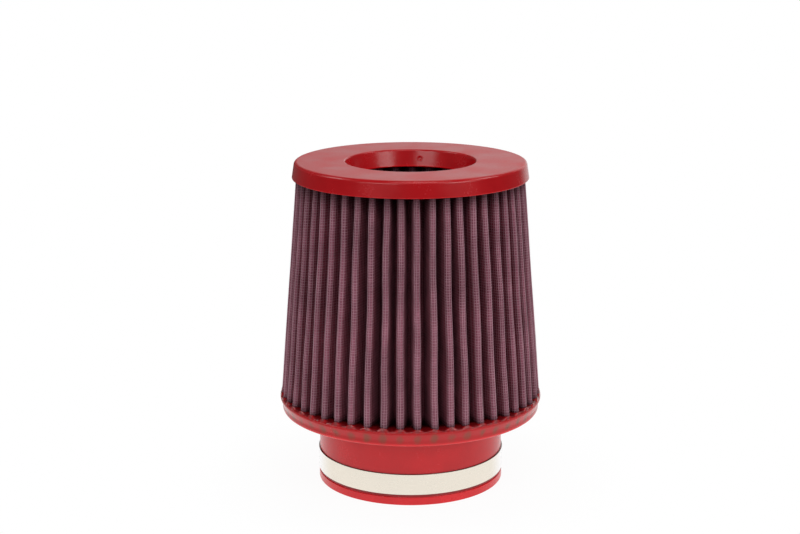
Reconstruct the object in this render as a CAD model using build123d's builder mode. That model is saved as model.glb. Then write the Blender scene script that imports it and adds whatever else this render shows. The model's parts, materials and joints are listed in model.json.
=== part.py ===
"""Twin-cone engine air filter with a clamped neck, in millimetres.

The filter stands on the lower rim of its neck. The origin is the centre of that rim, +Z runs up the
axis to the cap, and the clamp's screw sits on the +Y side.
"""

import os
from math import asin, atan2, cos, degrees, radians, sin, sqrt

from build123d import *

# Neck and flange, one moulding
neck_bore_r = 50.0
neck_wall = 3.0
neck_length = 41.8
neck_edge_bevel = 0.3
neck_lip = 0.45
neck_lip_height = 4.9
neck_lip_slope = 0.6
neck_root_bevel = 2.0
flange_inset = 0.8
flange_height = 8.2
flange_edge_round = 1.0
rim_flare_height = 3.4
rim_edge_height = 1.2
rim_edge_bevel = 0.5
rim_margin = 0.5
edge_facets = 2

# Outer pleats
outer_pleat_count = 50
outer_pleat_phase = -87.1
outer_tip_r_base = 75.1
outer_tip_r_top = 64.4
outer_pleat_depth = 14.5
outer_fold_bend = 2.2
sheet_thickness = 1.3
seen_fold_facets = 6
hidden_fold_facets = 2
cut_reach = 1.0

# Inner pleats
inner_pleat_count = 24
inner_pleat_phase = 96.0
inner_pleat_depth = 9.5
inner_fold_r_base = 30.0
inner_fold_bend = 1.9
inner_cone_height = 104.4

# Top cap
cap_top_z = 186.4
cap_roof = 4.0
cap_edge_round = 2.0
skirt_height = 9.4
skirt_wall = 2.0
skirt_flare = 1.4
skirt_edge_bevel = 0.4
hole_r = 37.0
hole_edge_bevel = 0.8
collar_height = 10.0
collar_lip_r = 34.8
collar_lip_wall = 2.25
pleat_clearance = 0.3

# Disc that closes the inner cone
end_cap_floor = 5.0
end_cap_rim_height = 3.0
end_cap_rim_wall = 1.8
end_cap_bevel = 1.0

# Clamp strip
band_width = 11.7
band_thickness = 0.7
band_bottom_z = 6.35
band_gap = 0.02
band_layer_gap = 0.05
band_start_deg = 70.0
band_step_deg = 6.0
band_tail_end_deg = 124.0
slot_pitch = 3.3
slot_width = 1.3
slot_length = 7.6
slot_tilt = 8.0
slot_end_margin = 3.0

# Clamp housing and worm screw
housing_length = 13.0
housing_wall = 0.9
housing_seat_gap = 0.05
housing_edge_gap = 0.15
housing_neck_gap = 0.3
housing_bend_round = 0.7
worm_core_r = 3.6
worm_lift = 0.35
worm_thread_height = 0.85
worm_thread_gap = 0.25
worm_end_play = 0.15
journal_r = 2.8
journal_gap = 0.05
head_across_flats = 7.0
head_length = 4.6
head_gap = 0.3
head_chamfer = 0.5
screw_slot_width = 1.2
screw_slot_depth = 1.6
tip_length = 0.6

# Heights and radii that follow from the sizes above
neck_r = neck_bore_r + neck_wall
neck_lip_r = neck_r + neck_lip
seat_z = neck_length + flange_height
flange_r = outer_tip_r_base - flange_inset
rim_r = outer_tip_r_base + rim_margin
ceiling_z = cap_top_z - cap_roof
skirt_bottom_z = cap_top_z - skirt_height
collar_bottom_z = cap_top_z - collar_height
inner_base_z = ceiling_z - inner_cone_height
band_mid_z = band_bottom_z + band_width / 2


def outer_tip_r(height):
    """Radius of the outer pleats' tips at a height."""
    share = (height - seat_z) / (ceiling_z - seat_z)
    return outer_tip_r_base + (outer_tip_r_top - outer_tip_r_base) * share


# The inner cone's folds pass just outside the collar's lower lip
inner_fold_r_lip = collar_lip_r + collar_lip_wall + pleat_clearance
inner_taper = (inner_fold_r_lip - inner_fold_r_base) / (collar_bottom_z - inner_base_z)


def inner_fold_r(height):
    """Radius of the inner pleats' inward folds at a height."""
    return inner_fold_r_base + inner_taper * (height - inner_base_z)


def polar(radius, angle, across=0.0):
    """Point at a radius and an angle in degrees, moved across along the circle's tangent."""
    turn = radians(angle)
    x = radius * cos(turn) - across * sin(turn)
    y = radius * sin(turn) + across * cos(turn)
    return (x, y)


def bend_points(centre, radius, first_deg, last_deg, facets):
    """Points along a bend about a centre, from one angle in degrees to another."""
    points = []
    for index in range(facets + 1):
        dx, dy = polar(radius, first_deg + (last_deg - first_deg) * index / facets)
        points.append((centre[0] + dx, centre[1] + dy))
    return points


def touch_point(start, centre, radius, side):
    """Point where a line from start touches a circle, on its left (+1) or right (-1)."""
    dx = centre[0] - start[0]
    dy = centre[1] - start[1]
    reach = sqrt(dx * dx + dy * dy)
    length = sqrt(reach * reach - radius * radius)
    heading = atan2(dy, dx) + side * asin(radius / reach)
    return (start[0] + length * cos(heading), start[1] + length * sin(heading))


def pleat_outline(count, phase, fold_apex_r, fold_bend, facets, crease_r, outward):
    """Closed zigzag with round folds at fold_apex_r and narrow flat creases at crease_r.

    The round folds point away from the axis where outward is +1 and towards it where it is -1.
    """
    half_pitch = 180 / count
    half_crease = fold_bend - sheet_thickness
    centre = polar(fold_apex_r - outward * fold_bend, 0)
    crease_before = polar(crease_r, -half_pitch, half_crease)
    crease_start = polar(crease_r, half_pitch, -half_crease)
    crease_end = polar(crease_r, half_pitch, half_crease)
    fold_end = touch_point(crease_start, centre, fold_bend, outward)
    half_turn = outward * degrees(atan2(fold_end[1], outward * (fold_end[0] - centre[0])))
    facing = 90 - 90 * outward
    fold = bend_points(centre, fold_bend, facing - half_turn, facing + half_turn, facets)
    with BuildLine() as pleat:
        Polyline(crease_before, *fold, crease_start, crease_end)
    with BuildLine() as outline:
        with PolarLocations(0, count, start_angle=phase):
            add(pleat.line)
    return outline.line


def sheet_outside(count, phase, tip_r, depth, fold_bend, facets):
    """Face bounded by the outside of a folded sheet, with round folds at its tips."""
    crease_r = tip_r - depth + sheet_thickness
    with BuildSketch() as face:
        add(pleat_outline(count, phase, tip_r, fold_bend, facets, crease_r, 1))
        make_face()
    return face.sketch


def sheet_inside(count, phase, tip_r, depth, fold_bend, facets):
    """Face bounded by the inside of a folded sheet, with round folds at its roots."""
    root_phase = phase + 180 / count
    crease_r = tip_r - sheet_thickness
    with BuildSketch() as face:
        add(pleat_outline(count, root_phase, tip_r - depth, fold_bend, facets, crease_r, -1))
        make_face()
    return face.sketch


def corner(sketch, radius, height):
    """Corner of a turned profile that lies at a radius and a height."""
    return sketch.vertices().sort_by_distance((radius, height, 0))[0]


# Base flange and neck
flange_edge_centre = (flange_r - flange_edge_round, neck_length + flange_edge_round)
with BuildPart() as base_flange:
    with BuildSketch(Plane.XZ) as base_profile:
        with BuildLine():
            Polyline(
                (neck_bore_r, 0),
                (neck_lip_r, 0),
                (neck_lip_r, neck_lip_height - neck_lip_slope),
                (neck_r, neck_lip_height),
                (neck_r, neck_length),
                *bend_points(flange_edge_centre, flange_edge_round, -90, 0, edge_facets),
                (flange_r, seat_z - rim_flare_height),
                (rim_r, seat_z - rim_edge_height),
                (rim_r, seat_z),
                (neck_bore_r, seat_z),
                close=True,
            )
        make_face()
        chamfer(corner(base_profile, neck_lip_r, 0), neck_edge_bevel)
        chamfer(corner(base_profile, neck_r, neck_length), neck_root_bevel)
        chamfer(corner(base_profile, rim_r, seat_z), rim_edge_bevel)
    revolve(axis=Axis.Z)
base_flange.part.label = "base_flange"

# Outer pleats, from the flange's face to the roof of the cap
with BuildPart() as outer_pleats:
    for height in (seat_z, ceiling_z):
        tip_r = outer_tip_r(height)
        with BuildSketch(Plane.XY.offset(height)):
            outer_sheet = (outer_pleat_depth, outer_fold_bend, seen_fold_facets)
            add(sheet_outside(outer_pleat_count, outer_pleat_phase, tip_r, *outer_sheet))
    loft(ruled=True)
    for height in (seat_z - cut_reach, ceiling_z + cut_reach):
        tip_r = outer_tip_r(height)
        with BuildSketch(Plane.XY.offset(height)):
            outer_sheet = (outer_pleat_depth, outer_fold_bend, hidden_fold_facets)
            add(sheet_inside(outer_pleat_count, outer_pleat_phase, tip_r, *outer_sheet))
    loft(ruled=True, mode=Mode.SUBTRACT)
outer_pleats.part.label = "outer_pleats"

# Inner pleats, hung from the roof of the cap
with BuildPart() as inner_pleats:
    for height in (inner_base_z, ceiling_z):
        tip_r = inner_fold_r(height) + inner_pleat_depth
        with BuildSketch(Plane.XY.offset(height)):
            inner_sheet = (inner_pleat_depth, inner_fold_bend, hidden_fold_facets)
            add(sheet_outside(inner_pleat_count, inner_pleat_phase, tip_r, *inner_sheet))
    loft(ruled=True)
    for height in (inner_base_z - cut_reach, ceiling_z + cut_reach):
        tip_r = inner_fold_r(height) + inner_pleat_depth
        with BuildSketch(Plane.XY.offset(height)):
            inner_sheet = (inner_pleat_depth, inner_fold_bend, seen_fold_facets)
            add(sheet_inside(inner_pleat_count, inner_pleat_phase, tip_r, *inner_sheet))
    loft(ruled=True, mode=Mode.SUBTRACT)
inner_pleats.part.label = "inner_pleats"

# Top cap
skirt_inner_r = outer_tip_r(skirt_bottom_z) + pleat_clearance
skirt_r = skirt_inner_r + skirt_wall
cap_r = skirt_r - skirt_flare
skirt_lean = degrees(atan2(skirt_flare, skirt_height))
cap_side_r = cap_r + cap_edge_round * skirt_flare / skirt_height
cap_edge_centre_r = cap_side_r - cap_edge_round / cos(radians(skirt_lean))
cap_edge_centre = (cap_edge_centre_r, cap_top_z - cap_edge_round)
with BuildPart() as top_cap:
    with BuildSketch(Plane.XZ) as cap_profile:
        with BuildLine():
            Polyline(
                (skirt_inner_r, skirt_bottom_z),
                (skirt_r, skirt_bottom_z),
                *bend_points(cap_edge_centre, cap_edge_round, skirt_lean, 90, edge_facets),
                (hole_r, cap_top_z),
                (collar_lip_r, collar_bottom_z),
                (collar_lip_r + collar_lip_wall, collar_bottom_z),
                (inner_fold_r(ceiling_z) - pleat_clearance, ceiling_z),
                (skirt_inner_r, ceiling_z),
                close=True,
            )
        make_face()
        chamfer(corner(cap_profile, skirt_r, skirt_bottom_z), skirt_edge_bevel)
        chamfer(corner(cap_profile, hole_r, cap_top_z), hole_edge_bevel)
    revolve(axis=Axis.Z)
top_cap.part.label = "top_cap"

# Disc that closes the inner cone, with a rim round the ends of its pleats
rim_top_z = inner_base_z + end_cap_rim_height
end_cap_bottom_z = inner_base_z - end_cap_floor
end_rim_inner_r = inner_fold_r(rim_top_z) + inner_pleat_depth + pleat_clearance
end_cap_r = end_rim_inner_r + end_cap_rim_wall
with BuildPart() as inner_end_cap:
    with BuildSketch(Plane.XZ) as end_profile:
        with BuildLine():
            Polyline(
                (0, end_cap_bottom_z),
                (end_cap_r, end_cap_bottom_z),
                (end_cap_r, rim_top_z),
                (end_rim_inner_r, rim_top_z),
                (end_rim_inner_r, inner_base_z),
                (0, inner_base_z),
                close=True,
            )
        make_face()
        chamfer(corner(end_profile, end_cap_r, end_cap_bottom_z), end_cap_bevel)
    revolve(axis=Axis.Z)
inner_end_cap.part.label = "inner_end_cap"

# Clamp strip: once round the neck, then up over its own start and out into a tail
under_r = neck_r + band_gap
over_r = under_r + band_thickness + band_layer_gap
under_top_r = under_r + band_thickness
strip_top_r = over_r + band_thickness
step_end_deg = band_start_deg - band_step_deg + 360
step_start_deg = step_end_deg - band_step_deg
tail_end_deg = band_tail_end_deg + 360
tail_length = radians(tail_end_deg - step_end_deg) * strip_top_r
slot_count = 1 + int((tail_length - 2 * slot_end_margin) / slot_pitch)


def strip_arc(radius, first_deg, last_deg):
    """Arc about the neck's axis between two angles."""
    middle = polar(radius, (first_deg + last_deg) / 2)
    ThreePointArc(polar(radius, first_deg), middle, polar(radius, last_deg))


with BuildPart() as clamp_band:
    with BuildSketch(Plane.XY.offset(band_bottom_z)):
        with BuildLine():
            strip_arc(under_r, band_start_deg, step_start_deg)
            Line(polar(under_r, step_start_deg), polar(over_r, step_end_deg))
            strip_arc(over_r, step_end_deg, tail_end_deg)
            Line(polar(over_r, tail_end_deg), polar(strip_top_r, tail_end_deg))
            strip_arc(strip_top_r, step_end_deg, tail_end_deg)
            Line(polar(strip_top_r, step_end_deg), polar(under_top_r, step_start_deg))
            strip_arc(under_top_r, band_start_deg, step_start_deg)
            Line(polar(under_top_r, band_start_deg), polar(under_r, band_start_deg))
        make_face()
    extrude(amount=band_width)
    slot_places = []
    for index in range(slot_count):
        from_end = slot_end_margin + index * slot_pitch
        slot_deg = tail_end_deg - degrees(from_end / strip_top_r)
        foot = (*polar(over_r - band_layer_gap / 2, slot_deg), band_mid_z)
        along = (*polar(0, slot_deg, 1), 0)
        facing = (*polar(1, slot_deg), 0)
        slot_places.append(Plane(foot, x_dir=along, z_dir=facing))
    with Locations(*slot_places):
        Box(
            slot_width,
            slot_length,
            2 * band_thickness,
            rotation=(0, 0, slot_tilt),
            align=(Align.CENTER, Align.CENTER, Align.MIN),
            mode=Mode.SUBTRACT,
        )
clamp_band.part.label = "clamp_band"

# Clamp housing: a tunnel over the strip with feet that wrap its edges
worm_y = strip_top_r + worm_core_r + worm_lift
tunnel_r = worm_core_r + worm_thread_height + worm_thread_gap
tunnel_outer_r = tunnel_r + housing_wall
saddle_r = strip_top_r + housing_seat_gap
foot_top_y = saddle_r + housing_wall
foot_inner_half = band_width / 2 + housing_edge_gap
foot_half = foot_inner_half + housing_wall
with BuildPart() as clamp_housing:
    with BuildSketch(Plane.YZ.offset(-housing_length / 2)) as housing_profile:
        with BuildLine():
            Polyline(
                (worm_y, band_mid_z - tunnel_outer_r),
                (foot_top_y, band_mid_z - tunnel_outer_r),
                (foot_top_y, band_mid_z - foot_half),
                (neck_bore_r, band_mid_z - foot_half),
                (neck_bore_r, band_mid_z + foot_half),
                (foot_top_y, band_mid_z + foot_half),
                (foot_top_y, band_mid_z + tunnel_outer_r),
                (worm_y, band_mid_z + tunnel_outer_r),
            )
            ThreePointArc(
                (worm_y, band_mid_z + tunnel_outer_r),
                (worm_y + tunnel_outer_r, band_mid_z),
                (worm_y, band_mid_z - tunnel_outer_r),
            )
        make_face()
        for side in (-1, 1):
            fillet(corner(housing_profile, foot_top_y, band_mid_z + side * foot_half), housing_bend_round)
    extrude(amount=housing_length)
    tunnel_length = housing_length - 2 * housing_wall
    with BuildSketch(Plane.YZ.offset(-tunnel_length / 2)):
        with Locations((worm_y, band_mid_z)):
            Circle(tunnel_r)
            Rectangle(worm_y, 2 * tunnel_r, align=(Align.MAX, Align.CENTER))
    extrude(amount=tunnel_length, mode=Mode.SUBTRACT)
    with Locations((0, 0, band_mid_z)):
        Cylinder(saddle_r, 2 * foot_inner_half, mode=Mode.SUBTRACT)
        Cylinder(neck_r + housing_neck_gap, 4 * foot_half, mode=Mode.SUBTRACT)
    with Locations(Plane((0, worm_y, band_mid_z), z_dir=(1, 0, 0))):
        Cylinder(journal_r + journal_gap, 2 * housing_length, mode=Mode.SUBTRACT)
clamp_housing.part.label = "clamp_housing"

# Worm screw: core between two journals, and a slotted hexagon head on the +X side
core_length = tunnel_length - 2 * worm_end_play
shank_start = -housing_length / 2 - tip_length
head_start = housing_length / 2 + head_gap
with BuildPart() as clamp_screw:
    screw_plane = Plane((0, worm_y, band_mid_z), x_dir=(0, 1, 0), z_dir=(1, 0, 0))
    with BuildSketch(screw_plane.offset(shank_start)):
        Circle(journal_r)
    extrude(amount=head_start - shank_start)
    with BuildSketch(screw_plane.offset(-core_length / 2)):
        Circle(worm_core_r)
    extrude(amount=core_length)
    with BuildSketch(screw_plane.offset(head_start)):
        RegularPolygon(head_across_flats / 2, 6, major_radius=False)
    extrude(amount=head_length)
    head_face = clamp_screw.faces().sort_by(Axis.X)[-1]
    chamfer(head_face.edges(), head_chamfer)
    with BuildSketch(screw_plane.offset(head_start + head_length)):
        Rectangle(2 * head_across_flats, screw_slot_width)
    extrude(amount=-screw_slot_depth, mode=Mode.SUBTRACT)
clamp_screw.part.label = "clamp_screw"

os.makedirs("parts", exist_ok=True)
export_step(base_flange.part, "parts/base_flange.step")
export_step(outer_pleats.part, "parts/outer_pleats.step")
export_step(inner_pleats.part, "parts/inner_pleats.step")
export_step(top_cap.part, "parts/top_cap.step")
export_step(inner_end_cap.part, "parts/inner_end_cap.step")
export_step(clamp_band.part, "parts/clamp_band.step")
export_step(clamp_housing.part, "parts/clamp_housing.step")
export_step(clamp_screw.part, "parts/clamp_screw.step")
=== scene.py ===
"""Looks of a twin-cone engine air filter: moulded ends, pleated gauze under wire screens, and a hose clamp.

Everything is in metres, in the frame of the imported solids: +Z up the axis, the clamp's screw on +Y.
"""

import json
import math

import bmesh
import bpy
import numpy as np
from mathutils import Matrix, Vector


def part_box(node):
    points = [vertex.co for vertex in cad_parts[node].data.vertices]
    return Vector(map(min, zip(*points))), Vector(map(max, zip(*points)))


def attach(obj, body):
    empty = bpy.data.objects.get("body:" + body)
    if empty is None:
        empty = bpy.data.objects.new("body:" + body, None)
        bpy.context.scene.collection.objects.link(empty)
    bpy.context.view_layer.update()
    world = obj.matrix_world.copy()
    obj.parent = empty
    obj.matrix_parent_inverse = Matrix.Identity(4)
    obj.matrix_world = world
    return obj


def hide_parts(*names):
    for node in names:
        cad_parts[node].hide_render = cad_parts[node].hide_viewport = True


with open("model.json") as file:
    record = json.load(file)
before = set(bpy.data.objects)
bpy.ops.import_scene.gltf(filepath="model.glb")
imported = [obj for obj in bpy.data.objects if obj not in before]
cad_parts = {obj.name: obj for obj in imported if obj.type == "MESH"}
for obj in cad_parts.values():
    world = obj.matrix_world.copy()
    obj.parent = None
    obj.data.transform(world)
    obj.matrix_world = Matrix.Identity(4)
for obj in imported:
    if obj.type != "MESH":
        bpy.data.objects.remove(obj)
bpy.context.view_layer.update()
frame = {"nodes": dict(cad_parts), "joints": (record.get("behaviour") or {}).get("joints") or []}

MM = 0.001
FULL_TURN = 2 * math.pi

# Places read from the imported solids
rim_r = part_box("base_flange")[1].x
seat_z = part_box("base_flange")[1].z
skirt_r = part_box("top_cap")[1].x
cap_top_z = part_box("top_cap")[1].z
collar_bottom_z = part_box("top_cap")[0].z
ceiling_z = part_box("outer_pleats")[1].z
inner_base_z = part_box("inner_pleats")[0].z
disc_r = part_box("inner_end_cap")[1].x
disc_bottom_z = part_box("inner_end_cap")[0].z
disc_top_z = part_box("inner_end_cap")[1].z
strip_top_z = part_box("clamp_band")[1].z
worm_axis = np.array(frame["joints"][0]["pos_m"])

# Neck and flange
neck_bore_r = 50 * MM
neck_r = 53 * MM
neck_lip_r = 53.45 * MM
neck_lip_shoulder_z = 4.3 * MM
neck_lip_top_z = 4.9 * MM
neck_length = 41.8 * MM
flange_r = 74.3 * MM
rim_flare_z = seat_z - 4.6 * MM
rim_edge_z = seat_z - 1.2 * MM

# Top ring
skirt_inner_r = skirt_r - 2.0 * MM
skirt_bottom_z = cap_top_z - 9.4 * MM
cap_r = skirt_r - 1.4 * MM
hole_r = 37 * MM
collar_lip_r = 34.8 * MM
collar_lip_wall = 2.25 * MM

# Outer pleats
outer_count = 50
outer_phase = math.radians(-87.1)
outer_tip_r_base = 75.1 * MM
outer_tip_r_top = 64.4 * MM
outer_depth = 14.5 * MM
outer_tip_bend = 1.95 * MM
outer_valley_bend = 0.9 * MM
outer_taper = (outer_tip_r_top - outer_tip_r_base) / (ceiling_z - seat_z)
sheet_thickness = 1.3 * MM

# Inner pleats
inner_count = 24
inner_phase = math.radians(96)
inner_fold_r_base = 30 * MM
inner_depth = 9.5 * MM
inner_tip_bend = 1.9 * MM
inner_valley_bend = 0.6 * MM
pleat_clearance = 0.3 * MM
inner_fold_r_lip = collar_lip_r + collar_lip_wall + pleat_clearance
inner_taper = (inner_fold_r_lip - inner_fold_r_base) / (collar_bottom_z - inner_base_z)

# Wire screens
upright_r = 0.15 * MM
upright_lift = 0.0
hoop_r = 0.1 * MM
hoop_lift = 0.12 * MM
gauze_inset = 0.15 * MM
wire_pitch = 1.48 * MM
wire_sides = 3


def srgb(red, green, blue):
    """Linear colour of a tone given in 0 to 255 steps, as on a paint chart."""
    linear = []
    for tone in (red, green, blue):
        share = tone / 255
        linear.append(share / 12.92 if share <= 0.04045 else ((share + 0.055) / 1.055) ** 2.4)
    return (*linear, 1.0)


# Node helpers


def add_node(tree, kind, inputs=None, **settings):
    """New node with its settings and its inputs, given by name or number, as values or links."""
    made = tree.nodes.new(kind)
    for name, value in settings.items():
        setattr(made, name, value)
    for key, value in (inputs or {}).items():
        if isinstance(value, bpy.types.NodeSocket):
            tree.links.new(value, made.inputs[key])
        else:
            made.inputs[key].default_value = value
    return made


def calc(tree, operation, *values, clamp=False):
    """Result of a Math node on values or links."""
    made = add_node(tree, "ShaderNodeMath", dict(enumerate(values)), operation=operation, use_clamp=clamp)
    return made.outputs[0]


def remap(tree, value, low, high, to_low, to_high, smooth=False):
    """Value moved from one range to another, clamped, along a line or a soft step."""
    kind = "SMOOTHSTEP" if smooth else "LINEAR"
    inputs = {"Value": value, "From Min": low, "From Max": high, "To Min": to_low, "To Max": to_high}
    return add_node(tree, "ShaderNodeMapRange", inputs, interpolation_type=kind).outputs[0]


def blend_colours(tree, share, first, second, mode="MIX"):
    """Colour between two by a share from 0 to 1, or their product by that share."""
    inputs = {0: share, 6: first, 7: second}
    return add_node(tree, "ShaderNodeMix", inputs, data_type="RGBA", blend_type=mode).outputs[2]


def noise(tree, place, scale, detail=2.0, roughness=0.5):
    """Cloudy noise from 0 to 1, with a scale in cells per metre."""
    inputs = {"Vector": place, "Scale": scale, "Detail": detail, "Roughness": roughness}
    return add_node(tree, "ShaderNodeTexNoise", inputs).outputs[0]


def own_place(tree):
    """Position on the piece, in the frame of the solids."""
    return add_node(tree, "ShaderNodeTexCoord").outputs["Object"]


def split_place(tree, place):
    """X, Y and Z of a place or direction."""
    return add_node(tree, "ShaderNodeSeparateXYZ", {0: place}).outputs


def distance_between(tree, place, centre):
    """Distance of a place from a point."""
    inputs = {0: place, 1: centre}
    return add_node(tree, "ShaderNodeVectorMath", inputs, operation="DISTANCE").outputs["Value"]


def axis_distance(tree, place):
    """Distance of a place from the filter's axis, and its height."""
    x, y, z = split_place(tree, place)
    level = add_node(tree, "ShaderNodeCombineXYZ", {0: x, 1: y}).outputs[0]
    return distance_between(tree, level, (0, 0, 0)), z


def axis_angle(tree, place):
    """Angle of a place round the filter's axis, and its height."""
    x, y, z = split_place(tree, place)
    return calc(tree, "ARCTAN2", y, x), z


def facing_up(tree):
    """How far the surface faces up, from -1 to 1."""
    normal = add_node(tree, "ShaderNodeTexCoord").outputs["Normal"]
    return split_place(tree, normal)["Z"]


def new_group(name, inputs, outputs):
    """Empty shader group with number sockets, its input node and its output node."""
    tree = bpy.data.node_groups.new(name, "ShaderNodeTree")
    for label, default in inputs:
        socket = tree.interface.new_socket(label, in_out="INPUT", socket_type="NodeSocketFloat")
        socket.default_value = default
    for label in outputs:
        tree.interface.new_socket(label, in_out="OUTPUT", socket_type="NodeSocketFloat")
    return tree, tree.nodes.new("NodeGroupInput"), tree.nodes.new("NodeGroupOutput")


def use_group(tree, group, **values):
    """Group placed in a material with its own values."""
    made = add_node(tree, "ShaderNodeGroup", node_tree=group)
    for label, value in values.items():
        made.inputs[label.replace("_", " ")].default_value = value
    return made


def new_material(name):
    """New material, its node tree and its Principled shader."""
    material = bpy.data.materials.new(name)
    material.use_nodes = True
    tree = material.node_tree
    shader = tree.nodes["Principled BSDF"]
    return material, tree, shader


def set_bump(tree, shader, height, strength, distance):
    """Relief on a shader from a height."""
    inputs = {"Height": height, "Strength": strength, "Distance": distance}
    bump = add_node(tree, "ShaderNodeBump", inputs)
    tree.links.new(bump.outputs[0], shader.inputs["Normal"])


# Shared finishes


def moulded_skin_group():
    """Satin skin of cast polyurethane: broad clouding, fine grain and a few pinholes."""
    tree, given, result = new_group(
        "Moulded skin",
        [("Grain", 900.0), ("Clouding", 55.0), ("Base Roughness", 0.4)],
        ["Tint", "Roughness", "Height"],
    )
    place = own_place(tree)
    grain = noise(tree, place, given.outputs["Grain"], 3.0, 0.6)
    clouds = noise(tree, place, given.outputs["Clouding"], 3.0, 0.55)
    tree.links.new(remap(tree, clouds, 0.3, 0.7, 0.9, 1.08), result.inputs["Tint"])
    uneven = remap(tree, clouds, 0.3, 0.7, -0.05, 0.05)
    speckle = remap(tree, grain, 0.3, 0.7, -0.02, 0.02)
    rough = calc(tree, "ADD", given.outputs["Base Roughness"], calc(tree, "ADD", uneven, speckle))
    tree.links.new(rough, result.inputs["Roughness"])
    cells = add_node(tree, "ShaderNodeTexVoronoi", {"Vector": place, "Scale": 160.0})
    pits = remap(tree, cells.outputs["Distance"], 0.02, 0.12, -0.06, 0.0, smooth=True)
    waves = calc(tree, "MULTIPLY", clouds, 2.0)
    fine = calc(tree, "MULTIPLY", grain, 0.4)
    height = calc(tree, "ADD", calc(tree, "ADD", fine, waves), pits)
    tree.links.new(height, result.inputs["Height"])
    return tree


def gauze_weave_group():
    """Cotton gauze on a folded sheet: two sets of threads along the sheet, and uneven oiling."""
    tree, given, result = new_group("Gauze weave", [("Threads", 2400.0)], ["Tone", "Height"])
    sheet = split_place(tree, add_node(tree, "ShaderNodeUVMap", uv_map="Sheet").outputs[0])
    waves = []
    for axis in ("X", "Y"):
        turns = calc(tree, "MULTIPLY", sheet[axis], given.outputs["Threads"])
        wave = calc(tree, "SINE", calc(tree, "MULTIPLY", turns, FULL_TURN))
        waves.append(remap(tree, wave, -1.0, 1.0, 0.0, 1.0))
    height = calc(tree, "MAXIMUM", *waves)
    tree.links.new(height, result.inputs["Height"])
    place = own_place(tree)
    oil_tone = remap(tree, noise(tree, place, 38.0, 3.0, 0.6), 0.3, 0.7, 0.72, 1.25)
    lint_tone = remap(tree, noise(tree, place, 700.0, 2.0, 0.6), 0.3, 0.7, 0.8, 1.2)
    thread_tone = remap(tree, height, 0.4, 1.0, 0.75, 1.1)
    tone = calc(tree, "MULTIPLY", calc(tree, "MULTIPLY", oil_tone, lint_tone), thread_tone)
    tree.links.new(tone, result.inputs["Tone"])
    return tree


def fold_depth_group():
    """Place in a pleat pack: depth in the pleats from their seen folds, used for painted shade deep in the
    pleats, and the painted shade at their two ends.
    """
    tree, given, result = new_group(
        "Fold depth",
        [("Fold Radius", 0.07), ("Taper", 0.0), ("Side", 1.0), ("Foot", 0.05), ("Head", 0.2)],
        ["Depth", "Painted End Shade"],
    )
    radius, height = axis_distance(tree, own_place(tree))
    rise = calc(tree, "MULTIPLY", height, given.outputs["Taper"])
    fold = calc(tree, "ADD", given.outputs["Fold Radius"], rise)
    depth = calc(tree, "MULTIPLY", calc(tree, "SUBTRACT", fold, radius), given.outputs["Side"])
    # Depth share that sets the painted shade deep in the pleats
    tree.links.new(remap(tree, depth, 0.15 * MM, 3.0 * MM, 0.0, 1.0, smooth=True), result.inputs["Depth"])
    above_foot = calc(tree, "SUBTRACT", height, given.outputs["Foot"])
    # Painted shade near the pleats' feet
    painted_foot_shade = remap(tree, above_foot, 0.5 * MM, 6.0 * MM, 0.4, 1.0, smooth=True)
    below_head = calc(tree, "SUBTRACT", given.outputs["Head"], height)
    # Painted shadow under the top ring
    painted_head_shadow = remap(tree, below_head, 0.0, 12.0 * MM, 0.48, 1.0, smooth=True)
    tree.links.new(calc(tree, "MULTIPLY", painted_foot_shade, painted_head_shadow), result.inputs["Painted End Shade"])
    return tree


def rolled_metal_group():
    """Rolled and handled metal: long fine lines round the axis, and soft smudges."""
    tree, given, result = new_group(
        "Rolled metal",
        [("Lines", 6000.0), ("Base Roughness", 0.3)],
        ["Tone", "Roughness", "Height"],
    )
    place = own_place(tree)
    angle, height = axis_angle(tree, place)
    along = calc(tree, "MULTIPLY", angle, 6.0)
    across = calc(tree, "MULTIPLY", height, given.outputs["Lines"])
    stretched = add_node(tree, "ShaderNodeCombineXYZ", {0: along, 1: across})
    lines = noise(tree, stretched.outputs[0], 1.0, 2.0, 0.6)
    smudge = noise(tree, place, 90.0, 3.0, 0.6)
    tree.links.new(remap(tree, smudge, 0.3, 0.7, 0.97, 1.02), result.inputs["Tone"])
    brushed = remap(tree, lines, 0.3, 0.7, -0.05, 0.05)
    handled = remap(tree, smudge, 0.3, 0.7, -0.04, 0.04)
    worn = calc(tree, "ADD", brushed, handled)
    tree.links.new(calc(tree, "ADD", given.outputs["Base Roughness"], worn), result.inputs["Roughness"])
    tree.links.new(lines, result.inputs["Height"])
    return tree


def tinted(tree, colour, tone):
    """Colour made lighter or darker by a tone around 1."""
    grey = add_node(tree, "ShaderNodeCombineColor", {0: tone, 1: tone, 2: tone})
    return blend_colours(tree, 1.0, colour, grey.outputs[0], "MULTIPLY")


# Materials

moulded_skin = moulded_skin_group()
gauze_weave = gauze_weave_group()
rolled_metal = rolled_metal_group()
fold_depth = fold_depth_group()

moulding_red = srgb(190, 13, 22)
moulding_ior = 1.46
moulding_relief = 0.045
fold_end_brown = srgb(116, 62, 40)


def skirt_tone(tree, place):
    """Tone of the top ring: a little deeper on the skirt, with painted light along its lower edge."""
    radius, height = axis_distance(tree, place)
    below_top = calc(tree, "SUBTRACT", cap_top_z, height)
    skirt = remap(tree, below_top, 1.0 * MM, 2.0 * MM, 1.0, 0.88, smooth=True)
    outside = remap(tree, radius, skirt_inner_r - 3.0 * MM, skirt_inner_r - 2.0 * MM, 1.0, skirt)
    above_edge = calc(tree, "SUBTRACT", height, skirt_bottom_z)
    # Painted highlight: the skirt's lower edge made lighter
    edge = remap(tree, above_edge, 0.3 * MM, 0.9 * MM, 1.3, 1.0, smooth=True)
    return calc(tree, "MULTIPLY", outside, edge)


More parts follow.
